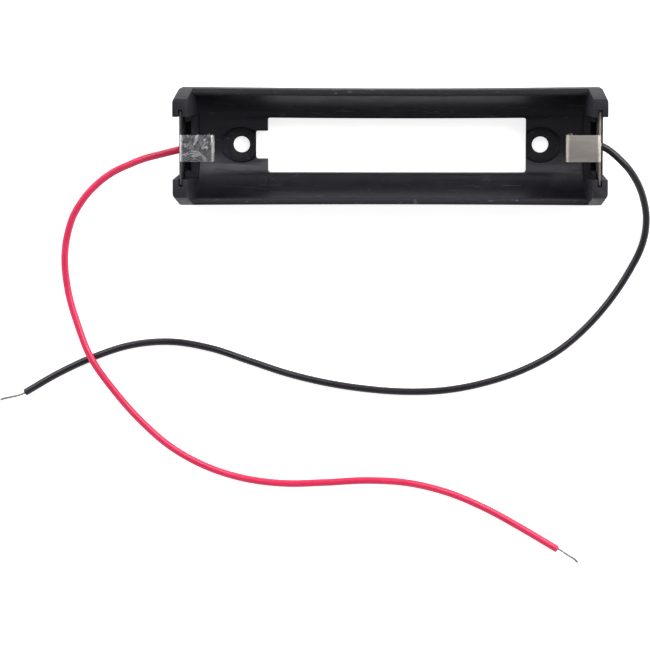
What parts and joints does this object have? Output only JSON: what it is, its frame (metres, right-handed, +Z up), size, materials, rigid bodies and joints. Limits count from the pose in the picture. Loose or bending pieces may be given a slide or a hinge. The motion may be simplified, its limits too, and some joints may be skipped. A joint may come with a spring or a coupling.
{
  "type": "cylindrical cell holder",
  "caption": "Open plastic holder for a cylindrical cell, with a sprung sheet metal contact at each end, a floor window, screw seats and insulated wire leads with stripped ends.",
  "frame": {"origin": "centre of the housing's underside", "axes": "+X along the cell towards the negative contact, +Y across the housing, +Z up out of its open side"},
  "size_m": [0.1188, 0.0878, 0.0152],
  "materials": {
    "housing": "fine moulded texture",
    "contact": "nickel plated, satin, scuffed",
    "solder": "satin",
    "positive_insulation": "satin",
    "negative_insulation": "satin",
    "strands": "tinned"
  },
  "bodies": {
    "root": {"housing": "housing", "positive_contact": "contact", "negative_contact": "contact", "positive_solder_joint": "solder", "negative_solder_joint": "solder", "positive_lead": "positive_insulation", "negative_lead": "negative_insulation", "positive_lead_strands": "strands", "negative_lead_strands": "strands"}
  },
  "joints": []
}
